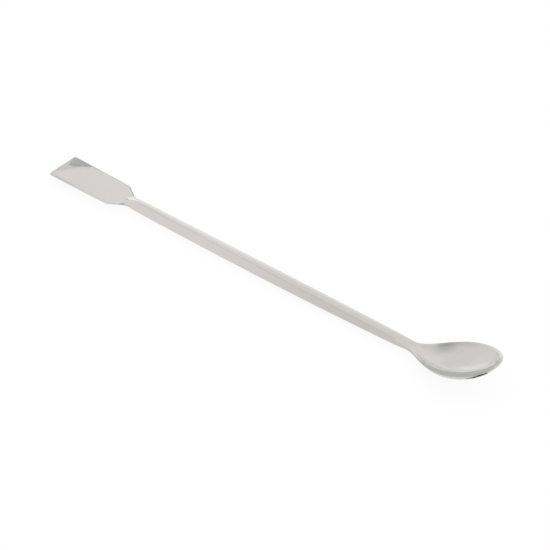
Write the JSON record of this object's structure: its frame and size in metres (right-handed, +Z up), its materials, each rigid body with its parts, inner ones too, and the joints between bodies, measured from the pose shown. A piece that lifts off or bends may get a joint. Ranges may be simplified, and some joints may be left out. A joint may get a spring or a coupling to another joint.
{
  "type": "lab spatula",
  "caption": "Steel lab spatula with a flat blade at one end, a slim oval handle and a raised spoon bowl at the other end.",
  "frame": {"origin": "on the surface that the spatula lies on, under the middle of its length and width", "axes": "+X along the handle towards the spoon, +Z up, with the spoon's hollow facing up"},
  "size_m": [0.15, 0.0152, 0.0107],
  "materials": {
    "polished_steel": "polished stainless steel with fine lengthwise polishing marks"
  },
  "bodies": {
    "root": {"spatula": "polished_steel"}
  },
  "joints": []
}
